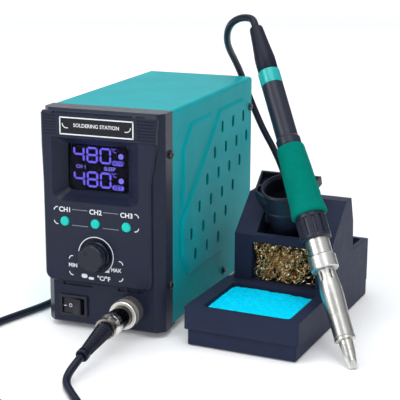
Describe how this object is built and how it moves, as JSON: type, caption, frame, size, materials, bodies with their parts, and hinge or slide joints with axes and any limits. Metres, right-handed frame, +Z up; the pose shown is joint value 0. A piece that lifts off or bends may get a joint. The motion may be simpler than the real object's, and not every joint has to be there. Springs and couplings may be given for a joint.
{
  "type": "soldering iron station",
  "caption": "Bench soldering station: control unit with display, knob and keys, an iron on its cord, and a stand with tilting holder, damp sponge and brass wool.",
  "frame": {"origin": "middle of the set's footprint (unit, stand and iron, without the cord) at bench level", "axes": "+X to the right seen from the front, +Y away from the user, +Z up"},
  "size_m": [0.2578, 0.4482, 0.2088],
  "materials": {
    "cover_paint": "satin teal powder coat",
    "bezel_plastic": "fine-textured moulding",
    "plate_plastic": "satin label plate with a printed frame",
    "lens_glass": "smoked window",
    "lcd": "dark display with lit violet-blue digits",
    "circuit_board": "solder mask",
    "turquoise_plastic": "smooth moulded",
    "black_plastic": "matt moulded",
    "switch_plastic": "semi-gloss moulded",
    "polished_steel": "polished, slightly heat tinted",
    "plain_steel": "zinc-plated sheet",
    "dark_chrome": "dark mirror plating",
    "nickel": "nickel plating",
    "brass": "bright",
    "winding": "copper wire under yellow tape",
    "core_iron": "varnished laminations",
    "aluminium": "extruded",
    "component_plastic": "capacitor sleeves and packages",
    "rubber_black": "matt",
    "cord_rubber": "smooth silicone jacket",
    "grip_foam": "fine-pored foam",
    "sponge_cellulose": "open-pored cellulose",
    "brass_curls": "loose curled brass turnings",
    "stand_plastic": "fine-textured moulding"
  },
  "bodies": {
    "station": {"board_components": "component_plastic", "board_standoffs": "brass", "brass_wool": "brass_curls", "case_screws": "plain_steel", "chassis_base": "plain_steel", "cord_boot": "rubber_black", "cord_clamp": "nickel", "cord_clamp_screws": "nickel", "display_board": "circuit_board", "display_lens": "lens_glass", "display_module": "lcd", "front_bezel": "bezel_plastic", "fuse_holder": "black_plastic", "heat_sink": "aluminium", "holder_pivot_pins": "plain_steel", "inlet_blades": "brass", "iron_cord": "cord_rubber", "machine_screws": "plain_steel", "main_board": "circuit_board", "mains_inlet": "black_plastic", "name_plate": "plate_plastic", "panel_socket": "nickel", "plug_body": "dark_chrome", "plug_insert": "brass", "potentiometer": "plain_steel", "potentiometer_nut": "nickel", "power_switch_body": "switch_plastic", "rear_panel": "cover_paint", "rubber_feet": "rubber_black", "socket_insert": "black_plastic", "socket_nut": "nickel", "stand_base": "stand_plastic", "stand_body": "stand_plastic", "stand_feet": "rubber_black", "tact_switches": "component_plastic", "top_cover": "cover_paint", "transformer_core": "core_iron", "transformer_strap": "plain_steel", "transformer_winding": "winding"},
    "knob": {"control_knob": "black_plastic", "knob_shaft": "nickel"},
    "rocker": {"power_switch_rocker": "switch_plastic"},
    "button_left": {"button_1": "turquoise_plastic"},
    "button_middle": {"button_2": "turquoise_plastic"},
    "button_right": {"button_3": "turquoise_plastic"},
    "holder": {"iron_holder": "black_plastic", "holder_liner": "brass"},
    "iron": {"iron_tip": "polished_steel", "heater_core": "core_iron", "barrel": "polished_steel", "barrel_nut": "polished_steel", "steel_sleeve": "polished_steel", "fluted_nut": "black_plastic", "handle_tube": "black_plastic", "foam_grip": "grip_foam", "handle_ring": "turquoise_plastic", "iron_boot": "rubber_black", "iron_cord_lead": "cord_rubber"},
    "plug_ring": {"coupling_nut": "nickel"},
    "sponge_pad": {"sponge": "sponge_cellulose"}
  },
  "joints": [
    {"name": "knob_turn", "type": "hinge", "parent": "station", "child": "knob", "pos_m": [-0.0699, -0.0953, 0.0554], "axis": [0, -1, 0], "range_deg": [-180, 90]},
    {"name": "rocker_tilt", "type": "hinge", "parent": "station", "child": "rocker", "pos_m": [-0.08845, -0.0872, 0.0169], "axis": [0, 0, 1], "range_deg": [0, 22]},
    {"name": "button_left_press", "type": "slide", "parent": "station", "child": "button_left", "axis": [0, 1, 0], "range_m": [0, 0.0008], "stiffness_N_per_m": 350, "springref_m": -0.0006},
    {"name": "button_middle_press", "type": "slide", "parent": "station", "child": "button_middle", "axis": [0, 1, 0], "range_m": [0, 0.0008], "stiffness_N_per_m": 350, "springref_m": -0.0006},
    {"name": "button_right_press", "type": "slide", "parent": "station", "child": "button_right", "axis": [0, 1, 0], "range_m": [0, 0.0008], "stiffness_N_per_m": 350, "springref_m": -0.0006},
    {"name": "holder_tilt", "type": "hinge", "parent": "station", "child": "holder", "pos_m": [0.0389, -0.00558, 0.06799], "axis": [-0.9976, 0.0698, 0], "range_deg": [0, 15]},
    {"name": "iron_lift", "type": "slide", "parent": "station", "child": "iron", "axis": [0.525, -0.579, 0.6239], "range_m": [0, 0.06]},
    {"name": "plug_ring_turn", "type": "hinge", "parent": "station", "child": "plug_ring", "pos_m": [-0.0458, -0.0983, 0.0193], "axis": [0, -1, 0], "continuous": true},
    {"name": "sponge_lift", "type": "slide", "parent": "station", "child": "sponge_pad", "axis": [0, 0, 1], "range_m": [0, 0.03]}
  ]
}
